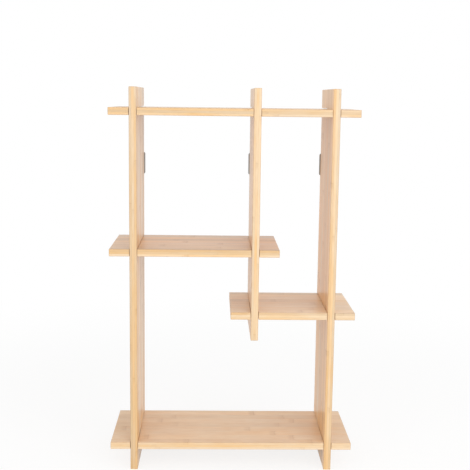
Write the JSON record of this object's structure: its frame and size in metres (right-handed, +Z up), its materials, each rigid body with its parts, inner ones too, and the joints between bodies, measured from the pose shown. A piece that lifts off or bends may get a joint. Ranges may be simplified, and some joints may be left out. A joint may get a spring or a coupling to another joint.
{
  "type": "wall shelving unit",
  "caption": "Wall-hung shelving unit of thin bamboo boards that cross in half-lap joints, with staggered bays, projecting board ends and keyhole hanger plates on its rear edges.",
  "frame": {"origin": "on the floor under the middle of the shelf, halfway between the front edges of the boards and the backs of the hanger plates", "axes": "+Z up along the uprights, +X to the right as seen from the front, +Y to the wall"},
  "size_m": [0.4, 0.1564, 0.63],
  "materials": {
    "upright_bamboo": "laminated bamboo, sanded and clear lacquered, satin",
    "shelf_bamboo": "laminated bamboo, sanded and clear lacquered, satin",
    "hanger_plate": "zinc plated sheet steel",
    "plate_screw": "zinc plated"
  },
  "bodies": {
    "root": {"left_upright": "upright_bamboo", "middle_upright": "upright_bamboo", "right_upright": "upright_bamboo", "top_shelf": "shelf_bamboo", "middle_left_shelf": "shelf_bamboo", "middle_right_shelf": "shelf_bamboo", "bottom_shelf": "shelf_bamboo", "left_keyhole_plate": "hanger_plate", "middle_keyhole_plate": "hanger_plate", "right_keyhole_plate": "hanger_plate", "left_plate_upper_screw": "plate_screw", "left_plate_lower_screw": "plate_screw", "middle_plate_upper_screw": "plate_screw", "middle_plate_lower_screw": "plate_screw", "right_plate_upper_screw": "plate_screw", "right_plate_lower_screw": "plate_screw"}
  },
  "joints": []
}
